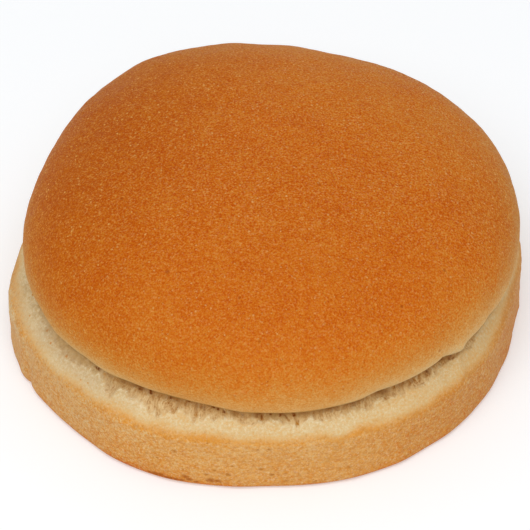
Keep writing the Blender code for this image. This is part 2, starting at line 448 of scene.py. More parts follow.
def rising(value, low, high):
    """The smooth step of a value, rising or falling, as a shader node."""
    settings = {"Value": value, "From Min": low, "From Max": high}
    return add_node("ShaderNodeMapRange", settings, interpolation_type="SMOOTHSTEP").outputs[0]


def flattened(place, flatness, shift=0.0):
    """The place with its height scaled, which flattens a pattern, and shifted to draw another one."""
    moved = (shift, shift * 0.7, shift * 0.4)
    settings = {"Vector": place, "Scale": (1.0, 1.0, flatness), "Location": moved}
    return add_node("ShaderNodeMapping", settings).outputs[0]


def spots(place, marks, flatness=1.0, ragged=0.0):
    """Single marks: bell curves round places, given as (x, y, z, half width) in millimetres.

    A flatness above 1 makes them wider than high, and a ragged value, one for each point, frays their edge.
    """
    total = 0.0
    squeezed = flattened(place, flatness)
    for x, y, z, half_width in marks:
        middle = (x / MILLIMETRES, y / MILLIMETRES, flatness * z / MILLIMETRES)
        apart = add_node("ShaderNodeVectorMath", {0: squeezed, 1: middle}, operation="DISTANCE")
        share = calc("MULTIPLY_ADD", apart.outputs["Value"], MILLIMETRES / half_width, ragged)
        mark = calc("SUBTRACT", 1.0, times(share, share), clamp=True)
        total = calc("MAXIMUM", mark, total)
    return total


def summed(start, *terms):
    """A start value plus terms, each a (value, factor)."""
    total = start
    for value, factor in terms:
        total = calc("MULTIPLY_ADD", value, factor, total)
    return total


# Colours of the baked skin
ORANGE_LINE = srgb(214, 141, 46)
PAN_SMUDGE = srgb(196, 136, 58)
PAN_GRIT = srgb(196, 125, 34)
FLOUR = srgb(234, 198, 154)
GOLD_TINT = srgb(236, 164, 70)
ROSE_TINT = srgb(192, 146, 104)
DENT_BROWN = srgb(174, 106, 26)
BURNT_FOOT = srgb(158, 80, 2)
DENT_HEIGHTS = (0.008, 0.0015)


def make_baked_skin(tree, place, height, grain):
    """Golden wall below a ragged line, pale break above it, and an orange stain where the two meet.

    Over them lie tan smudges and brown dents where the wall pulled off the pan, and pale floury flecks.
    Returns the skin's colour and its relief.
    """
    above = summed(painted(tree, "line"), (grain.patch, 0.9), (grain.fine, 0.6), (grain.broad, 0.5))
    up = rising(above, -0.4, 2.3)
    on_wall = calc("SUBTRACT", 1.0, up)
    wall = times(on_wall, painted(tree, "bake"))
    bake = summed(wall, (times(up, painted(tree, "cream")), 1.0))
    near_line = rising(calc("ABSOLUTE", above), 1.1, 0.1)
    freckle = rising(summed(grain.fine, (grain.patch, 1.0)), 0.1, 0.5)
    gold = times(near_line, summed(painted(tree, "stain"), (freckle, 0.3)), clamp=True)
    patches = times(grain.patch, summed(0.07, (on_wall, 0.14)))
    brown = summed(bake, (gold, 0.06), (grain.fine, 0.32), (patches, 1.0), (grain.broad, 0.11))
    brown = summed(brown, (spots(place, HEEL_MARKS), 0.5))
    skin = layered(grouped(bake_group, Bake=brown), (gold, ORANGE_LINE))

    smudge = mottled(flattened(place, 1.4, shift=0.2), patch_size=0.0017, detail=3.0)
    smudge = times(rising(smudge, 0.05, 0.5), summed(0.12, (on_wall, 0.4)))
    grit = mottled(flattened(place, 1.15, shift=0.9), patch_size=0.00062)
    grit = times(rising(grit, 0.08, 0.42), summed(0.12, (on_wall, 0.44)))
    fleck = mottled(flattened(place, 1.1, shift=0.5), patch_size=0.00045, detail=1.0)
    fleck = times(rising(fleck, 0.05, 0.5), summed(0.46, (near_line, -0.22)))
    skin = layered(skin, (smudge, PAN_SMUDGE), (grit, PAN_GRIT), (fleck, FLOUR))
    tint = times(mottled(flattened(place, 1.2, shift=1.4), patch_size=0.0006, detail=3.0), on_wall)
    rose = times(tint, -0.8, clamp=True)
    skin = layered(skin, (times(tint, 0.8, clamp=True), GOLD_TINT), (rose, ROSE_TINT))

    low = rising(height, *DENT_HEIGHTS)
    dents = specked(flattened(place, 1.5), spacing=0.003, size=0.24, share=0.35)
    dents = times(dents, summed(0.18, (low, 0.34)))
    frayed = summed(0.0, (grain.patch, 1.6), (grain.fine, 1.4))
    pan_dents = spots(place, PAN_DENTS, PAN_MARK_FLATNESS, frayed)
    dents = calc("MAXIMUM", dents, times(pan_dents, 0.8))
    pepper = specked(place, spacing=0.0018, size=0.2, share=0.35)
    dents = calc("MAXIMUM", dents, times(pepper, 0.45))
    burns = times(spots(place, FOOT_BURNS, PAN_MARK_FLATNESS, times(frayed, 0.4)), 0.85)
    skin = layered(skin, (times(dents, on_wall), DENT_BROWN), (burns, BURNT_FOOT))
    relief = summed(0.0, (grain.fine, 0.3), (grain.patch, 0.25), (dents, -0.25))
    return skin, summed(relief, (smudge, -0.3), (grit, -0.4), (fleck, 0.3))


# Colours of the torn crumb
CRUMB = srgb(210, 175, 123)
# Deeper crumb, darker partly from its own tone and partly from painted shade under the rim
DEEP_SHADED_CRUMB = srgb(204, 158, 98)
FIBRE = srgb(232, 206, 156)
FIBRE_GAP = srgb(152, 92, 20)
CRUMB_HOLE = srgb(150, 92, 26)
DEEP_SHADE_HEIGHTS = (0.0157, 0.0178)


def make_torn_crumb(tree, place, height, grain):
    """Torn crumb: darker inwards towards the slice, partly its own tone and partly painted shade, with pale
    fibres, brown gaps between them and small holes.

    Returns the crumb's colour and its relief.
    """
    inwards = summed(height, (grain.thin, 0.00015), (grain.patch, 0.0008))
    crumb = blend(rising(inwards, *DEEP_SHADE_HEIGHTS), CRUMB, DEEP_SHADED_CRUMB)
    fibre = summed(0.0, (grain.thin, 0.38), (grain.hair, 0.44), (grain.fine, 0.9), (grain.patch, 0.6))
    between = times(fibre, -1.1, clamp=True)
    holes = times(specked(flattened(place, 0.7), spacing=0.0009, size=0.34, share=0.3), 0.45)
    fibre = times(fibre, 1.0, clamp=True)
    crumb = layered(crumb, (fibre, FIBRE), (between, FIBRE_GAP), (holes, CRUMB_HOLE))
    return crumb, summed(0.0, (grain.thin, 0.18), (grain.hair, 0.1), (grain.fine, 0.25))


# Colours of the browning and the painted shade under the crown's rim, and of the painted shade on the heel's
# sides
CREVICE_TOAST_AND_SHADE = srgb(114, 54, 2)
UNDER_RIM = srgb(158, 122, 70)
GREY_SHADE = srgb(143, 122, 109)
WARM_SHADED_CRUMB = srgb(160, 102, 24)
DRIP_TIP = srgb(176, 118, 42)
DRIP_ROOT = srgb(116, 54, 4)
HEEL_SIDE_SHADE = srgb(150, 106, 56)
# Heights that each sets in between
BITS_HEIGHTS = (0.0166, 0.0173)
CREVICE_HEIGHTS = (0.0168, 0.0178)
WARM_SHADE_HEIGHTS = (0.0165, 0.0178)
DRIP_HEIGHTS = (0.0158, 0.0175)


def shade_and_brown_under_rim(tree, height, grain, edge, colour):
    """Toasts the crevice at the slice and paints contact shade in it, paints shade and warm brown on the
    crumb below, shade on the heel's sides, and lets brown drip into it.
    """
    # The crevice at the slice: brown crumb bits, darkened further with painted contact shade
    bits = rising(summed(grain.patch, (grain.fine, 1.0)), 0.1, 0.4)
    bits = times(bits, rising(height, *BITS_HEIGHTS))
    inwards = summed(height, (grain.thin, 0.0001), (grain.patch, 0.0005))
    crevice = rising(inwards, *CREVICE_HEIGHTS)
    crevice = calc("MAXIMUM", crevice, times(bits, 0.85))
    crevice = times(crevice, painted(tree, "toast_and_shade"))
    uneven = summed(0.45, (edge, 0.75), (grain.patch, 2.0), (grain.fine, 0.8))
    shade = times(painted(tree, "shade"), uneven, clamp=True)
    # Warm brown towards the slice: partly browned crumb, partly painted shade under the rim
    uneven = summed(0.2, (grain.patch, 0.3))
    warm_shade = times(rising(height, *WARM_SHADE_HEIGHTS), uneven, clamp=True)
    grey_shade = painted(tree, "grey_shade")
    colour = layered(colour, (crevice, CREVICE_TOAST_AND_SHADE), (shade, UNDER_RIM), (grey_shade, GREY_SHADE))
    uneven = summed(0.9, (grain.fine, 1.4), (grain.hair, 0.25))
    drip = rising(times(painted(tree, "drip"), uneven, clamp=True), 0.05, 0.7)
    scorch = blend(rising(height, *DRIP_HEIGHTS), DRIP_TIP, DRIP_ROOT)
    return layered(colour, (warm_shade, WARM_SHADED_CRUMB), (drip, scorch), (painted(tree, "browning_and_shade"), HEEL_SIDE_SHADE))


def dress(tree, colour, relief, strength, depth, finish):
    """Gives a material its colour, its relief, of a depth in metres, and its finish."""
    bump = add_node("ShaderNodeBump", {"Strength": strength, "Distance": depth, "Height": relief})
    fill(tree.nodes["Principled BSDF"], {"Base Color": colour, "Normal": bump.outputs[0], **finish})


HEEL_FINISH = {"Roughness": 0.75, "Specular IOR Level": 0.05, "Sheen Weight": 0.08, "Sheen Roughness": 0.4}


def make_heel_skin():
    """The heel's material: pan-baked skin, and torn crumb above the ragged foot of the tears."""
    material, tree, place = bread_material("heel_skin")
    height = add_node("ShaderNodeSeparateXYZ", {0: place}).outputs[2]
    low_place = flattened(place, 1.3)
    grain = SimpleNamespace(
        fine=times(mottled(place, patch_size=0.00045), painted(tree, "lively")),
        patch=mottled(low_place, patch_size=0.0014),
        broad=mottled(low_place, patch_size=0.0055),
        wide=stranded(place, width=0.0014, length=0.0045, bend=0.0009),
        thin=stranded(place, width=0.00052, length=0.0022, bend=0.0009),
        hair=stranded(place, width=0.00026, length=0.0014, bend=0.0007),
    )
    skin, skin_relief = make_baked_skin(tree, place, height, grain)
    crumb, crumb_relief = make_torn_crumb(tree, place, height, grain)
    ragged = summed(painted(tree, "tear"), (grain.wide, 0.25), (grain.thin, 0.2), (grain.fine, 0.45))
    edge = rising(ragged, -0.15, 0.45)
    torn = times(edge, painted(tree, "raw"))
    colour = shade_and_brown_under_rim(tree, height, grain, edge, blend(torn, skin, crumb))
    relief = times(calc("SUBTRACT", 1.0, torn), skin_relief)
    relief = summed(relief, (times(torn, crumb_relief), 1.0), (torn, -0.25))
    dress(tree, colour, relief, strength=0.6, depth=0.0003, finish=HEEL_FINISH)
    return material


SLICED_CRUMB = srgb(242, 226, 190)
TAN_CRUMB = srgb(232, 208, 164)
PORE = srgb(196, 158, 108)
CRUMB_FINISH = {"Roughness": 0.9, "Specular IOR Level": 0.2}


def make_cut_crumb():
    """Sliced crumb: cream, open pores of two sizes, matt."""
    material, tree, place = bread_material("cut_crumb")
    large = specked(place, spacing=0.0032, size=0.42, share=0.55)
    small = specked(place, spacing=0.0013, size=0.45, share=0.7)
    tone = mottled(place, patch_size=0.002, detail=3.0, amount=0.5)
    pores = calc("MAXIMUM", large, times(small, 0.7))
    colour = blend(calc("ADD", tone, 0.4, clamp=True), SLICED_CRUMB, TAN_CRUMB)
    colour = blend(times(pores, 0.6), colour, PORE)
    relief = calc("MULTIPLY_ADD", pores, -1.0, times(tone, 0.5))
    dress(tree, colour, relief, strength=0.8, depth=0.0006, finish=CRUMB_FINISH)
    return material


cut_crumb = make_cut_crumb()


def rim_outline(azimuth):
    """Outline of the crown's cut face: its widest outline, drawn in, with its local swellings."""
    return outline(azimuth, CROWN_RADIUS, CROWN_LOBES, RIM_SWELLINGS) - RIM_INSET


# Rows of points up the heel's skin, and on its cut face
UNDER_INSETS = (0.048, 0.002)
UNDER_ROWS = 5
FOOT_ROWS = 5
WALL_ROWS = 15
LOW_BREAK_ROWS = 9
HIGH_BREAK_ROWS = 50
HEEL_CUT_ROWS = 6
INNERMOST = 0.06


def heel_profile(azimuth, wall):
    """Rows of the heel from under the foot to the slice: grids of the inset from the wall and the height.

    The underside is flat, the foot a quarter circle, the wall upright, and the break a quadratic curve from
    the wall to the crown's cut edge, whose inset differs round the bun.
    """
    under = np.linspace(*UNDER_INSETS, UNDER_ROWS)
    turn = np.linspace(0.0, math.pi / 2.0, FOOT_ROWS + 1)[:-1]
    upright = np.linspace(FOOT_ROUND, WALL_HEIGHT, WALL_ROWS + 1)[:-1]
    inset = np.concatenate([under, FOOT_ROUND * (1.0 - np.sin(turn)), np.zeros(len(upright))])
    height = np.concatenate([np.zeros(len(under)), FOOT_ROUND * (1.0 - np.cos(turn)), upright])
    low_share = np.linspace(0.0, 0.5, LOW_BREAK_ROWS + 1)[:-1]
    share = np.concatenate([low_share, np.linspace(0.5, 1.0, HIGH_BREAK_ROWS)])[:, None]
    shifted = CROWN_CENTRE[0] * np.cos(azimuth) + CROWN_CENTRE[1] * np.sin(azimuth)
    cut_inset = wall - (rim_outline(azimuth) + shifted - SLICE_STEP)
    rest = 1.0 - share
    rise = rest**2 * WALL_HEIGHT + 2.0 * share * rest * BREAK_CORNER + share**2 * SLICE_HEIGHT
    level = np.ones(len(azimuth))
    insets = np.concatenate([inset[:, None] * level, share**2 * cut_inset])
    return insets, np.concatenate([height[:, None] * level, rise * level])


# Brown drips in the torn crumb, as (azimuth at the tip, lean in degrees for each millimetre up, half width
# in degrees, height of the tip, strength)
DRIPS = (
    (226.5, 0, 0.9, 0.0173, 0.6), (230.5, 0, 0.9, 0.0171, 0.3), (234.0, 0, 1.0, 0.0172, 0.3),
    (238.6, 0, 0.6, 0.0172, 0.7), (241.3, 0, 0.35, 0.0173, 0.8), (245.0, -1.6, 0.55, 0.0154, 0.5),
    (246.5, 0, 0.35, 0.0175, 0.9), (248.3, 0.3, 0.6, 0.0159, 0.5), (250.4, 0, 0.3, 0.017, 0.5),
    (251.0, 0, 0.35, 0.0177, 1.0), (253.3, -0.1, 0.42, 0.0159, 0.8), (254.2, 0, 0.25, 0.0171, 0.7),
    (255.1, 0, 0.3, 0.0169, 0.5), (257.2, 0, 0.38, 0.0176, 0.9), (258.3, 0, 0.3, 0.0174, 0.9),
    (260.0, -1.0, 0.3, 0.0171, 0.8), (264.3, 0, 0.6, 0.0168, 0.4), (267.6, 0, 0.45, 0.0169, 0.6),
    (269.0, -0.4, 0.32, 0.0166, 0.9), (270.8, 0, 0.3, 0.0174, 0.9), (273.0, 0, 0.28, 0.0171, 0.8),
    (275.0, -1.0, 0.35, 0.0163, 0.8), (276.3, 0, 0.3, 0.0172, 0.8), (277.0, -0.5, 0.32, 0.0156, 0.9),
    (280.8, 0, 0.5, 0.0163, 0.4), (286.5, 0, 0.7, 0.0169, 0.4), (290.5, 0, 0.9, 0.017, 0.4),
    (284.6, -1.2, 0.4, 0.0159, 0.25), (288.2, 0, 0.45, 0.0168, 0.35), (298.6, 0.5, 1.2, 0.0163, 0.5),
    (303.0, 0.5, 1.0, 0.0166, 0.3), (306.3, 0, 0.8, 0.017, 0.4), (311.0, 0, 1.0, 0.0167, 0.7),
    (315.8, 0, 1.2, 0.0174, 0.7), (318.6, 0, 0.9, 0.0171, 0.6),
)
DRIP_SPREAD = 1.25
DRIP_LEAST = 0.35
# Where a drip's tip sets in and how fast it fades upwards, in millimetres
DRIP_TIP_EDGE = (-0.25, 0.15)
DRIP_FADE = 0.7


def dripping(azimuth, height):
    """Sum of drips, each a bell curve across, sharp at its tip and fading upwards."""
    total = 0.0
    for tip_azimuth, lean, half_width, tip, strength in DRIPS:
        above = (height - tip) * MILLIMETRES
        across = bell(np.degrees(azimuth), tip_azimuth + lean * above, DRIP_SPREAD * half_width)
        fading = DRIP_LEAST + (1.0 - DRIP_LEAST) * np.exp(-np.abs(above) / DRIP_FADE)
        total = total + strength * across * smooth_step(above, *DRIP_TIP_EDGE) * fading
    return np.clip(total, 0.0, 1.0)


# Browning round the heel: swellings as for the outlines, bands of (start, end, soft edge, amount), and
# coats, which are bands that set in between two heights, (start, end, soft edge, low, high, amount)
LINE_HEIGHT = 0.0128
LINE_WAVES = ((0.0003, 0.008, 10),)
LINE_SHIFTS = (
    (193, 8, 0.0008), (215, 11, -0.0008), (236, 6, 0.00015), (246, 8, 0.0001), (256, 5, 0.0001),
    (272, 8, -0.0003), (281, 3.5, -0.00035), (290, 8, -0.00048), (288.5, 4, 0.0003), (299, 3.5, -0.0003),
    (307, 8, -0.00085), (323, 7, -0.0004), (336, 6, -0.0003), (344, 10, 0.0014),
)
ORANGE_STAINS = (
    (228, 8, 0.1), (236, 5, 0.14), (245, 7, 0.2), (256, 6, 0.5), (264, 3.5, 0.18), (272, 8, 0.1),
    (281, 3.5, -0.15), (290, 11, 0.22), (290, 4, 0.12), (299, 3.5, -0.1), (309, 7, 0.22), (326, 16, -0.12),
    (340, 5, 0.25),
)
STAIN_WAVES = ((0.08, 0.011, 13),)
PALE_BAKE = 0.195
# The pale break browner round the right, which is the crown's shadow painted in, and paler at the left
CREAM_AND_SHADE_BANDS = ((288, 350, 14, 0.06), (172, 236, 14, -0.03))
CREAM_SHIFTS = (
    (179, 6, 0.04), (189, 9, -0.03), (194, 5, 0.03), (211, 4, 0.04), (220, 11, 0.04), (242, 4, -0.05),
    (344, 7, 0.06),
)
FOOT_BAKE = 0.73
FOOT_BURN = ((238, 6, 0.15),)
FOOT_LOW = 0.0006
FOOT_TOP = 0.0013
FOOT_TOP_BANDS = ((230, 266, 6, 0.0012), (196, 232, 6, 0.0007), (288, 352, 14, 0.0006))
FOOT_TOP_WAVES = ((0.0003, 0.007, 12),)
WALL_BAKE = 0.5
# The wall darker round the right, which is painted shade on the side turned from the lamp, and paler at the
# left
WALL_BAKE_AND_SHADE_BANDS = ((280, 400, 30, 0.08), (334, 360, 8, 0.07), (180, 240, 15, -0.055))
WALL_COATS = ((284, 336, 16, 0.007, 0.011, 0.03), (222, 256, 10, 0.007, 0.002, 0.06))
LOW_GOLD = 0.03
LOW_GOLD_HEIGHTS = (0.006, 0.001)
TOP_PALING = 0.05
TOP_PALING_HEIGHTS = (0.007, 0.011)
# Places near the wall's top, with the middle and half width of their heights
PALE_TOPS = ((191, 8, -0.2),)
PALE_TOP_HEIGHTS = (0.0112, 0.0016)
GOLDEN_TOPS = ((231.5, 5, 0.08), (255.5, 5, 0.07), (292.5, 4, 0.08), (338, 6, 0.06))
GOLDEN_TOP_HEIGHTS = (0.0107, 0.0015)
# How dark the crevice under the rim is: partly toasted crumb, partly painted contact shade
CREVICE_DARK_BANDS = ((229, 345, 9, 0.44), (15, 165, 15, 0.5), (260, 306, 8, 0.28))
CREVICE_DARK_SPOTS = ((236, 5, 0.35), (308, 3, -0.25), (334, 5, -0.3))
CREVICE_DARK_WAVES = ((0.35, 0.004, 14),)
SHADE_COATS = ((175, 236, 14, 0.014, 0.0168, 0.33), (256, 290, 8, 0.0162, 0.0172, 0.22))
SHADE_GAPS = ((207, 8, -0.12),)
SHADE_GAP_HEIGHTS = (0.014, 0.0168)
CRUMB_SHADE_HEIGHTS = (0.0152, 0.0162)
CRUMB_SHADES = ((234, 3, 0.18), (272, 3, 0.18), (290, 3, 0.18), (298.5, 3, 0.22), (318.5, 3, 0.2))
# Painted grey shade on the pale break round the left, fading out below the slice
GREY_SHADE_COATS = ((180, 238, 14, 0.0125, 0.0145, 0.12), (200, 244, 8, 0.0138, 0.0155, 0.08))
GREY_END = (0.0173, 0.016)
# Painted shade on the heel's right side, and darkening of its left wall, which stops short of the break
HEEL_SIDE_SHADE_BANDS = ((296, 372, 30, 0.1), (165, 240, 16, 0.11))
HEEL_SIDE_SHADE_GAPS = ((90, 270, 10, 0.0125, 0.014, 1.0),)
BREAK_LIVELINESS = ((170, 232, 10, -0.2),)
WALL_LIVELINESS = ((238, 312, 24, -0.6), (170, 232, 10, 0.2))
WALL_END = (0.0138, 0.0118)
# Farthest above or below the line or the tears that is stored, in millimetres
LAYER_LIMIT = 3.0


def heel_browning(azimuth, ring, height):
    """Browning and painted shade of each point of the heel's skin, as an array of numbers for each name."""
    # Dark at the foot, golden on the wall and paler towards its top
    foot_top = FOOT_TOP + rippled(ring, FOOT_TOP_WAVES) + banded(azimuth, FOOT_TOP_BANDS)
    low = smooth_step(height, FOOT_LOW, foot_top)
    golden = WALL_BAKE + banded(azimuth, WALL_BAKE_AND_SHADE_BANDS) + coated(azimuth, height, WALL_COATS)
    golden = golden + LOW_GOLD * smooth_step(height, *LOW_GOLD_HEIGHTS)
    golden = golden - TOP_PALING * smooth_step(height, *TOP_PALING_HEIGHTS)
    golden = golden + swollen(azimuth, PALE_TOPS) * bell(height, *PALE_TOP_HEIGHTS)
    golden = golden + swollen(azimuth, GOLDEN_TOPS) * bell(height, *GOLDEN_TOP_HEIGHTS)
    bake = (FOOT_BAKE + swollen(azimuth, FOOT_BURN)) * (1.0 - low) + low * golden

    # How far above the orange line each point lies, in millimetres, and how strong the line is
    line_height = LINE_HEIGHT + rippled(ring, LINE_WAVES) + swollen(azimuth, LINE_SHIFTS)
    line = np.clip((height - line_height) * MILLIMETRES, -LAYER_LIMIT, LAYER_LIMIT)
    stain = 0.12 + rippled(ring, STAIN_WAVES) + swollen(azimuth, ORANGE_STAINS)

    # The crevice under the rim toasted and darkened with painted contact shade, and painted shade on the
    # crumb below it
    crevice_dark = banded(azimuth, CREVICE_DARK_BANDS) + swollen(azimuth, CREVICE_DARK_SPOTS)
    toast_and_shade = crevice_dark * (0.75 + rippled(ring, CREVICE_DARK_WAVES))
    shade = coated(azimuth, height, SHADE_COATS)
    shade = shade + swollen(azimuth, SHADE_GAPS) * smooth_step(height, *SHADE_GAP_HEIGHTS)
    shade = shade + swollen(azimuth, CRUMB_SHADES) * smooth_step(height, *CRUMB_SHADE_HEIGHTS)
    # Painted shade on the heel's right side, and a darker wall at its left below the break
    browning_and_shade = banded(azimuth, HEEL_SIDE_SHADE_BANDS) * (1.0 - coated(azimuth, height, HEEL_SIDE_SHADE_GAPS))
    wall_lively = (0.6 + banded(azimuth, WALL_LIVELINESS)) * smooth_step(height, *WALL_END)
    return {
        "bake": bake,
        "cream": PALE_BAKE + banded(azimuth, CREAM_AND_SHADE_BANDS) + swollen(azimuth, CREAM_SHIFTS),
        "line": line,
        "stain": np.clip(stain, 0.0, 0.7),
        "toast_and_shade": np.clip(toast_and_shade, 0.0, 1.0),
        "shade": shade,
        "grey_shade": coated(azimuth, height, GREY_SHADE_COATS) * smooth_step(height, *GREY_END),
        "browning_and_shade": browning_and_shade,
        "drip": dripping(azimuth, height),
        "lively": 0.95 + banded(azimuth, BREAK_LIVELINESS) + wall_lively,
    }


def make_heel():
    """Builds the heel's skin, with its tears and its relief, and stores its browning on the mesh."""
    azimuth = np.arange(HEEL_COLUMNS) * (2.0 * math.pi / HEEL_COLUMNS)
    wall = outline(azimuth, HEEL_RADIUS, HEEL_LOBES, HEEL_SWELLINGS)
    box = np.stack([wall * np.cos(azimuth), wall * np.sin(azimuth)])
    middle = -(box.min(axis=1) + box.max(axis=1)) / 2.0
    inset, height = heel_profile(azimuth, wall)
    ring = np.stack([np.cos(azimuth), np.sin(azimuth)], -1) * HEEL_RADIUS

    # Tears: how far above their ragged foot each point lies, in millimetres, and the crumb sunk behind it
    reach = TEAR_LEAST + swollen(azimuth, TEARS) + swollen(azimuth, SOFT_TEARS)
    reach = reach * (1.0 + 0.35 * rippled(ring, TEAR_FRINGE))
    foot = TEAR_HEAD - reach - swollen(azimuth, TEAR_SPIKES)
    tear = np.clip((height - foot) * MILLIMETRES, -LAYER_LIMIT, LAYER_LIMIT)
    raw = 1.0 + banded(azimuth, RAW_BANDS)
    lay = np.stack(np.broadcast_arrays(*ring.T, height * 0.3), -1)
    pulled = 1.0 + 0.4 * rippled(lay, TORN_STRANDS)
    off_cut = 1.0 - smooth_step(height, SLICE_HEIGHT - CUT_MARGIN, SLICE_HEIGHT)
    depth = TEAR_DEPTH * smooth_step(tear, *TEAR_EDGE) * raw * pulled * off_cut
    inset = inset + 0.75 * depth
    height = height - 0.5 * depth

    # The pits and dents that the pan leaves in the wall, and soft lumps all over
    x = middle[0] + (wall - inset) * np.cos(azimuth)
    y = middle[1] + (wall - inset) * np.sin(azimuth)
    points = np.stack([x, y, height], -1)
    flat_points = points * np.array([1.0, 1.0, 2.0])
    on_wall = smooth_step(height, *WALL_FOOT) * (1.0 - smooth_step(height, WALL_HEIGHT, BREAK_CORNER))
    pits = rippled(flat_points, WALL_PITS)
    lumps = rippled(points, HEEL_LUMPS) * smooth_step(height, *LUMP_FOOT) * off_cut
    nick = NICK_DEPTH * swelling(azimuth, *NICK) * smooth_step(height, *NICK_HEIGHTS)
    out = pits * on_wall + lumps - nick
    x = x + out * np.cos(azimuth)
    y = y + out * np.sin(azimuth)

    # Browning of the skin, and the flat cut face inside it
    layers = {"tear": tear, "raw": raw, **heel_browning(azimuth, ring, height)}
    layers = {name: np.broadcast_to(values, height.shape) for name, values in layers.items()}
    shrink = np.linspace(1.0, INNERMOST, HEEL_CUT_ROWS + 1)[1:, None]
    which = np.array([0] * (len(x) - 1) + [1] * HEEL_CUT_ROWS)
    x = np.concatenate([x, middle[0] + shrink * (x[-1] - middle[0])])
    y = np.concatenate([y, middle[1] + shrink * (y[-1] - middle[1])])
    height = np.concatenate([height, np.full((HEEL_CUT_ROWS, HEEL_COLUMNS), SLICE_HEIGHT)])
    poles = [(*middle, 0.0), (*middle, SLICE_HEIGHT)]
    heel = turned("heel_bread", x, y, height, poles, [make_heel_skin(), cut_crumb], which)
    blank = np.zeros((HEEL_CUT_ROWS, HEEL_COLUMNS))
    for name, values in layers.items():
        paint(heel, name, np.concatenate([values, blank]), [values[0].mean(), 0.0])
    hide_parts("heel")
    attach(heel, "root")
    return middle


heel_middle = make_heel()
place_camera(heel_middle)


# Crown
# The upper half, baked open to the heat: a browned dome, blistered finely all over, whose rim turns pale
# as it curls in over the break. Its cut face lies on the heel.
CROWN_COLUMNS = 640
RIM_ROWS = 17
DOME_ROWS = 118
CROWN_CUT_ROWS = 8
RIM_SWELLING_REACH = 0.0035
# Lumps of the dome, as (x, y, half width, height)
DOME_LUMPS = (
    (-0.031, 0.03, 0.006, -0.0005), (-0.024, 0.037, 0.004, 0.0002), (-0.01, 0.016, 0.015, 0.0002),
    (0.018, -0.012, 0.016, -0.00025), (0.026, 0.022, 0.014, 0.00015), (-0.02, -0.018, 0.013, 0.00015),
)
LUMP_RISE = 0.004
CRUST_WAVES = ((0.0001, 0.013, 21), (0.00004, 0.005, 22), (0.000014, 0.0019, 23))
CRUST_SETTLE = 0.0015
CROWN_CUT_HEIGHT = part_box("crown")[0][2]
CROWN_TOP = 0.043
WIDEST_HEIGHT = 0.0232
RIM_TURN = math.radians(60.0)
DOME_TURN = math.radians(89.3)
DOME_FULLNESS = 2.3
# Unevenness of the crust stands out from this height on the crown's axis, turned up by this factor
CORE_HEIGHT = 0.02
CORE_UPTURN = 2.2
# Single dark blisters, as (x, y, z, half width) in millimetres
CROWN_MARKS = (
    (-18.8, -29.6, 38.3, 0.6), (25.7, -34.8, 34.2, 0.35), (-5.1, -36.1, 37.8, 0.35),
    (34.1, -25.6, 34.9, 0.35), (-1.3, -43.8, 33.7, 0.35), (-28.0, -10.7, 39.9, 0.4),
)
# Colours of the crust
CRUST_BROWNING_AND_SHADE = srgb(108, 74, 2)
DRY_CRUST_AND_GLINT = srgb(238, 178, 112)
DRY_DUSK = srgb(238, 184, 92)
BURNT_CRUST = srgb(150, 62, 6)
CRUST_FINISH = {
    "Specular IOR Level": 0.04, "Sheen Weight": 0.08, "Sheen Roughness": 0.35,
    "Sheen Tint": (1.0, 0.88, 0.5, 1.0),
}


def make_crown_crust():
    """Browned crust: browning from the mesh, a fine grain, pale dry blisters that are partly painted glints,
    and a few dark specks.
    """
    material, tree, place = bread_material("crown_crust")
    browning_and_shade = painted(tree, "browning_and_shade")
    lively = painted(tree, "lively")
    grain = mottled(place, patch_size=0.00036, detail=1.0, amount=0.3)
    grain = times(grain, lively)
    patch = mottled(place, patch_size=0.0012, amount=0.11)
    broad = mottled(place, patch_size=0.006, amount=0.06)
    brown = summed(painted(tree, "bake"), (grain, 1.0), (patch, 1.0), (broad, 1.0))
    colour = blend(browning_and_shade, grouped(bake_group, Bake=brown), CRUST_BROWNING_AND_SHADE)

    # Pale dry blisters, partly painted glints, and over them dark specks and the single marks
    dry = mottled(flattened(place, 1.0, shift=0.3), patch_size=0.00042, detail=1.0, amount=0.66)
    blister = specked(place, spacing=0.0009, size=0.3, share=0.38)
    dry_and_glint_veil = times(calc("MULTIPLY_ADD", blister, 0.42, dry), lively)
    dry_and_glint_veil = calc("ADD", dry_and_glint_veil, -0.02, clamp=True)
    dry_tone = blend(times(browning_and_shade, 5.0, clamp=True), DRY_CRUST_AND_GLINT, DRY_DUSK)
    dark = specked(place, spacing=0.0045, size=0.1, share=0.4)
    pepper = specked(place, spacing=0.0015, size=0.17, share=0.4)
    dark = calc("MAXIMUM", times(dark, 0.35), times(pepper, 0.34))
    marks = spots(place, CROWN_MARKS)
    burnt = calc("MAXIMUM", times(marks, 0.6), dark)
    colour = layered(colour, (dry_and_glint_veil, dry_tone), (burnt, BURNT_CRUST))
    relief = summed(0.0, (blister, 0.7), (grain, 1.0), (dry, 1.0), (marks, -0.8))
    finish = {"Roughness": calc("MULTIPLY_ADD", grain, 0.3, 0.6), **CRUST_FINISH}
    dress(tree, colour, relief, strength=0.6, depth=0.00028, finish=finish)
    return material


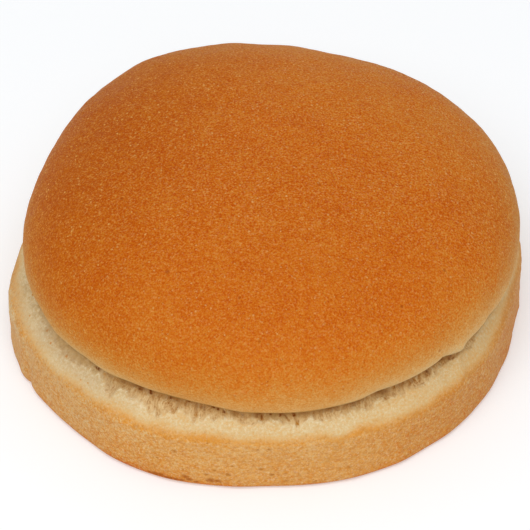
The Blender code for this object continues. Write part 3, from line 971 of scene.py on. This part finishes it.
# Paler patches of the crust, as (x, y, half width, paleness), and painted sheen on edges of the dome seen
# edge-on, as (azimuth, half width, inner radius, outer radius, paleness)
CRUST_PATCHES = (
    (-0.0214, -0.0376, 0.005, 0.06), (-0.0104, -0.0429, 0.005, 0.05), (0.0353, -0.0255, 0.006, 0.05),
)
SHEEN_EDGES = ((168, 32, 0.046, 0.049, 0.05), (105, 36, 0.034, 0.041, 0.05))
TOP_BAKE = 0.845
TOP_WAVES = ((0.01, 0.03, 25), (0.008, 0.011, 26))
LEFT_REACH = 0.046
BACK_SHEEN_EDGE = (0.004, 0.026)
FLANK_PALENESS = (
    (270, 15, 0.09), (300, 9, 0.04), (318, 22, 0.11), (3, 30, 0.13), (186, 26, 0.16), (85, 50, 0.07),
)
FLANK_HEIGHT = 0.0118
FLANK_RISES = ((60, 60, 0.006), (346, 16, -0.0012))
FLANK_WAVES = ((0.0006, 0.012, 24),)
# Paleness along the rim: partly the crust's own, partly painted light on the rim that faces down
RIM_PALENESS_AND_LIGHT = ((320, 38, 0.29), (331, 9, 0.05), (292, 10, 0.1), (222, 30, 0.34))
PALE_RIM_HEIGHT = 0.0055
# Darkening along the left front and the right, partly browning and partly painted shade, with the middle
# and half width of their heights above the cut
FRONT_DUSK = ((218, 268, 14, 0.06),)
FRONT_DUSK_HEIGHTS = (0.009, 0.006)
RIGHT_DUSK = ((0, 24, 0.13),)
RIGHT_DUSK_HEIGHTS = (0.008, 0.007)
# Darkening along the cut edge: a browned edge all round, with painted shade added at the left front
RIM_DUSK = 0.48
RIM_SHADE_BANDS = ((218, 264, 6, 0.22),)
RIM_DUSK_HEIGHTS = (0.0014, 0.0008)
# Places on the front, as distances from the middle, where the grain fades
FRONT_FADE = (0.01, 0.036)
EDGE_FADE = (0.039, 0.046)


def mounds(x, y, places):
    """Sum of round bell curves given as (x, y, half width, height)."""
    total = 0.0
    for middle_x, middle_y, half_width, height in places:
        total = total + height * np.exp(-((x - middle_x) ** 2 + (y - middle_y) ** 2) / half_width**2)
    return total


def crown_browning(azimuth, points):
    """Browning of the crown: darker to the left, paler down towards the rim, palest along it, with painted
    light, sheen and shade at edges.

    Gives an array of numbers for each name, and the number at the top of the dome.
    """
    x, y = points[..., 0], points[..., 1]
    up = points[..., 2] - CROWN_CUT_HEIGHT
    left = smooth_step(0.3 * y - x, 0.0, LEFT_REACH)
    top = TOP_BAKE + rippled(points, TOP_WAVES) + 0.07 * left
    # Paler towards the back, partly less browned and partly painted sheen where the dome is seen edge-on
    top = top - 0.055 * smooth_step(0.5 * x + 0.87 * y, *BACK_SHEEN_EDGE)
    # Painted sheen on the dome's left and back edges
    for centre, half_width, inner, outer, paleness in SHEEN_EDGES:
        outside = smooth_step(np.hypot(x, y), inner, outer)
        top = top - paleness * swelling(azimuth, centre, half_width) * outside
    top = top - mounds(x, y, CRUST_PATCHES)
    flank = 0.03 + swollen(azimuth, FLANK_PALENESS)
    flank_height = FLANK_HEIGHT + swollen(azimuth, FLANK_RISES) + rippled(points[0], FLANK_WAVES)
    # Paleness along the rim, partly its own and partly painted light
    rim_paleness_and_light = 0.2 + swollen(azimuth, RIM_PALENESS_AND_LIGHT)
    bake = top - flank * np.exp(-((up / flank_height) ** 4))
    bake = bake - rim_paleness_and_light * np.exp(-((up / PALE_RIM_HEIGHT) ** 1.6))
    # Darker to the left from browning; darker at the front, the right and the cut edge, partly browning and
    # partly painted shade
    browning_and_shade = 0.17 * left + banded(azimuth, FRONT_DUSK) * bell(up, *FRONT_DUSK_HEIGHTS)
    browning_and_shade = browning_and_shade + swollen(azimuth, RIGHT_DUSK) * bell(up, *RIGHT_DUSK_HEIGHTS)
    browning_and_shade = browning_and_shade + (RIM_DUSK + banded(azimuth, RIM_SHADE_BANDS)) * smooth_step(up, *RIM_DUSK_HEIGHTS)
    lively = 1.2 - 0.32 * smooth_step(-y, *FRONT_FADE) - 0.12 * smooth_step(-y, *EDGE_FADE)
    return {"bake": (bake, 0.8), "browning_and_shade": (browning_and_shade, 0.0), "lively": (lively, 1.0)}


def make_crown():
    """Builds the crown: a cut face, a rim that is part of an ellipse, and a superellipse dome with lumps."""
    azimuth = np.arange(CROWN_COLUMNS) * (2.0 * math.pi / CROWN_COLUMNS)
    widest = outline(azimuth, CROWN_RADIUS, CROWN_LOBES, ())
    rim = swollen(azimuth, RIM_SWELLINGS)
    centre = heel_middle + np.array(CROWN_CENTRE)
    curl = np.linspace(RIM_TURN, 0.0, RIM_ROWS + 1)[:-1]
    rim_inset = RIM_INSET * (1.0 - np.cos(curl)) / (1.0 - math.cos(RIM_TURN))
    rim_height = WIDEST_HEIGHT - (WIDEST_HEIGHT - CROWN_CUT_HEIGHT) * np.sin(curl) / math.sin(RIM_TURN)
    rise = np.linspace(0.0, DOME_TURN, DOME_ROWS)
    power = 2.0 / DOME_FULLNESS
    share = np.concatenate([np.ones(len(curl)), np.cos(rise) ** power])[:, None]
    dome_height = WIDEST_HEIGHT + (CROWN_TOP - WIDEST_HEIGHT) * np.sin(rise) ** power
    height = np.concatenate([rim_height, dome_height])[:, None] * np.ones(CROWN_COLUMNS)
    inset = np.concatenate([rim_inset, np.zeros(len(rise))])[:, None]
    reach = widest * share - inset + rim * bell(height, CROWN_CUT_HEIGHT, RIM_SWELLING_REACH)
    x = centre[0] + reach * np.cos(azimuth)
    y = centre[1] + reach * np.sin(azimuth)
    raised = np.clip((height - WIDEST_HEIGHT) / LUMP_RISE, 0.0, 1.0)
    height = height + raised * mounds(x, y, DOME_LUMPS)

    # Fine unevenness of the crust, square to the surface
    points = np.stack([x, y, height], -1)
    settle = smooth_step(height, CROWN_CUT_HEIGHT, CROWN_CUT_HEIGHT + CRUST_SETTLE)
    waves = rippled(points, CRUST_WAVES) * settle
    outward = np.stack([x - centre[0], y - centre[1], (height - CORE_HEIGHT) * CORE_UPTURN], -1)
    outward /= np.linalg.norm(outward, axis=-1, keepdims=True)
    points = points + outward * waves[..., None]
    x, y, height = points[..., 0], points[..., 1], points[..., 2]

    # The flat cut face below the skin
    top = height[-1].mean()
    grow = np.linspace(INNERMOST, 1.0, CROWN_CUT_ROWS + 1)[:-1, None]
    which = np.array([1] * CROWN_CUT_ROWS + [0] * (len(x) - 1))
    x = np.concatenate([centre[0] + grow * (x[0] - centre[0]), x])
    y = np.concatenate([centre[1] + grow * (y[0] - centre[1]), y])
    height = np.concatenate([np.full((CROWN_CUT_ROWS, CROWN_COLUMNS), CROWN_CUT_HEIGHT), height])
    poles = [(*centre, CROWN_CUT_HEIGHT), (*centre, top)]
    crown = turned("crown_bread", x, y, height, poles, [make_crown_crust(), cut_crumb], which)
    blank = np.zeros((CROWN_CUT_ROWS, CROWN_COLUMNS))
    for name, (values, at_top) in crown_browning(azimuth, points).items():
        paint(crown, name, np.concatenate([blank, values]), [0.0, at_top])
    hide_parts("crown")
    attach(crown, "root")


make_crown()


# Floor and light
# A plain pale table top, one large soft lamp above the camera and a little to its left, and pale light
# all round.
FLOOR_HALF = 3.0
FLOOR_HEIGHT = -0.0001
WHITE = (1.0, 1.0, 1.0, 1.0)
FLOOR_FINISH = {
    "Base Color": (0.78, 0.8, 0.82, 1.0), "Emission Color": WHITE, "Emission Strength": 0.26,
    "Roughness": 0.9, "Specular IOR Level": 0.08,
}
LAMP_AZIMUTH = math.radians(-100.0)
LAMP_ELEVATION = math.radians(60.0)
LAMP_DISTANCE = 1.1
LAMP_SIZE = 0.8
LAMP_WATTS = 6.6
SKY_STRENGTH = 0.54


def make_floor():
    """A flat pale square under the bun."""
    mesh = bpy.data.meshes.new("floor")
    corners = [(FLOOR_HALF * x, FLOOR_HALF * y, 0.0) for x, y in ((-1, -1), (1, -1), (1, 1), (-1, 1))]
    mesh.from_pydata(corners, [], [(0, 1, 2, 3)])
    material = bpy.data.materials.new("pale_floor")
    material.use_nodes = True
    fill(material.node_tree.nodes["Principled BSDF"], FLOOR_FINISH)
    mesh.materials.append(material)
    floor = bpy.data.objects.new("floor", mesh)
    floor.location = (0.0, 0.0, FLOOR_HEIGHT)
    bpy.context.scene.collection.objects.link(floor)


def add_lamp():
    """A square soft lamp on a sphere round the bun, turned to its middle."""
    data = bpy.data.lights.new("key", "AREA")
    data.size = LAMP_SIZE
    data.energy = LAMP_WATTS
    lamp = bpy.data.objects.new("key", data)
    flat = LAMP_DISTANCE * math.cos(LAMP_ELEVATION)
    height = LAMP_DISTANCE * math.sin(LAMP_ELEVATION)
    lamp.location = (flat * math.cos(LAMP_AZIMUTH), flat * math.sin(LAMP_AZIMUTH), height)
    lamp.rotation_euler = (math.pi / 2.0 - LAMP_ELEVATION, 0.0, LAMP_AZIMUTH + math.pi / 2.0)
    bpy.context.scene.collection.objects.link(lamp)


make_floor()
add_lamp()
world = bpy.data.worlds.new("studio")
world.use_nodes = True
fill(world.node_tree.nodes["Background"], {"Color": WHITE, "Strength": SKY_STRENGTH})
bpy.context.scene.world = world
bpy.context.scene.view_settings.view_transform = "Standard"
